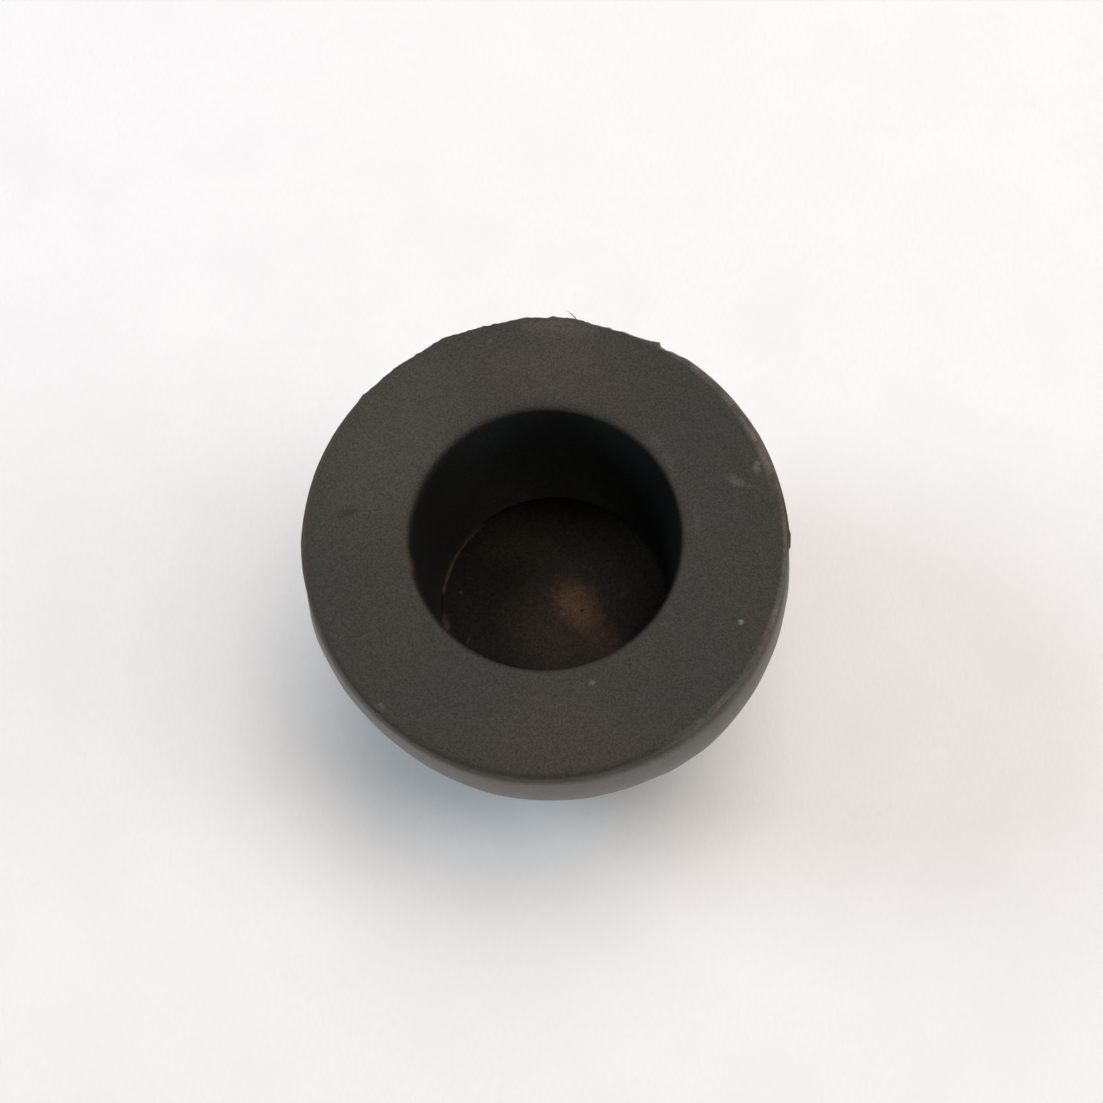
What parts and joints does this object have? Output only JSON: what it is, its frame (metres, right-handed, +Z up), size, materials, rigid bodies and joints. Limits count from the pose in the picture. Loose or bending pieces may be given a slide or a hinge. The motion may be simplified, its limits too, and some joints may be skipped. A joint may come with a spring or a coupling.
{
  "type": "rubber cap",
  "caption": "Thick-walled moulded rubber cap with a flat rim, a deep blind bore and a rounded body on a small flat foot.",
  "frame": {"origin": "middle of the flat foot that the cap stands on", "axes": "+Z up along the bore's axis, out of the mouth; +X to the right and +Y to the back, the side where the trimmed flash is"},
  "size_m": [0.026, 0.026, 0.0205],
  "materials": {
    "rubber": "matt black moulded rubber with a faint brown-grey bloom"
  },
  "bodies": {
    "root": {"rubber_cap": "rubber"}
  },
  "joints": []
}
